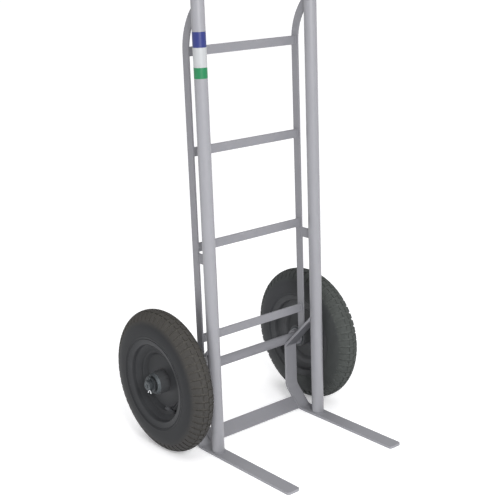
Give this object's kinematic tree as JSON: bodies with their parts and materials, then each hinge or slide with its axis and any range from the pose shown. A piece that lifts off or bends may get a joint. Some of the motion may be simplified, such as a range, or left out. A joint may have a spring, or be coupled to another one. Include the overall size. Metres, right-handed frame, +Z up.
{
  "type": "two-wheeled cylinder and sack trolley",
  "caption": "Upright two-wheeled trolley: round tubes with handles, flat rails and rungs, flat toe bars on the floor and air-filled wheels on a straight axle.",
  "frame": {"origin": "centre of the bounding box's underside, on the floor", "axes": "+X to the right seen from the toe bars' end, +Y to the rear, +Z up"},
  "size_m": [0.594, 0.586, 1.2964],
  "materials": {
    "grey_paint": "semi-gloss",
    "black_paint": "semi-gloss",
    "zinc_plate": "satin",
    "bearing_steel": "satin",
    "tyre_rubber": "matte",
    "tube_rubber": "matte",
    "grip_rubber": "matte",
    "valve_plastic": "matte"
  },
  "bodies": {
    "frame": {"left_main_tube": "grey_paint", "left_grip": "grip_rubber", "left_toe_strap": "grey_paint", "left_side_rail": "grey_paint", "left_spacer": "grey_paint", "left_axle_collar": "black_paint", "left_inner_washer": "black_paint", "left_outer_washer": "black_paint", "left_spacer_sleeve": "black_paint", "left_keeper_washer": "zinc_plate", "left_split_pin": "zinc_plate", "right_main_tube": "grey_paint", "right_grip": "grip_rubber", "right_toe_strap": "grey_paint", "right_side_rail": "grey_paint", "right_spacer": "grey_paint", "right_axle_collar": "black_paint", "right_inner_washer": "black_paint", "right_outer_washer": "black_paint", "right_spacer_sleeve": "black_paint", "right_keeper_washer": "zinc_plate", "right_split_pin": "zinc_plate", "rung_1": "grey_paint", "rung_2": "grey_paint", "rung_3": "grey_paint", "rung_4": "grey_paint", "foot_crossbar": "grey_paint", "axle": "grey_paint"},
    "left_wheel": {"left_tyre": "tyre_rubber", "left_inner_tube": "tube_rubber", "left_valve_cap": "valve_plastic", "left_outer_rim_half": "black_paint", "left_inner_rim_half": "black_paint", "left_hub": "black_paint", "left_dust_cap": "zinc_plate", "left_outer_bearing": "bearing_steel", "left_inner_bearing": "bearing_steel"},
    "right_wheel": {"right_tyre": "tyre_rubber", "right_inner_tube": "tube_rubber", "right_valve_cap": "valve_plastic", "right_outer_rim_half": "black_paint", "right_inner_rim_half": "black_paint", "right_hub": "black_paint", "right_dust_cap": "zinc_plate", "right_outer_bearing": "bearing_steel", "right_inner_bearing": "bearing_steel"}
  },
  "joints": [
    {"name": "left_wheel_spin", "type": "hinge", "parent": "frame", "child": "left_wheel", "pos_m": [-0.244, 0.109, 0.184], "axis": [1, 0, 0], "continuous": true},
    {"name": "right_wheel_spin", "type": "hinge", "parent": "frame", "child": "right_wheel", "pos_m": [0.244, 0.109, 0.184], "axis": [1, 0, 0], "continuous": true}
  ]
}
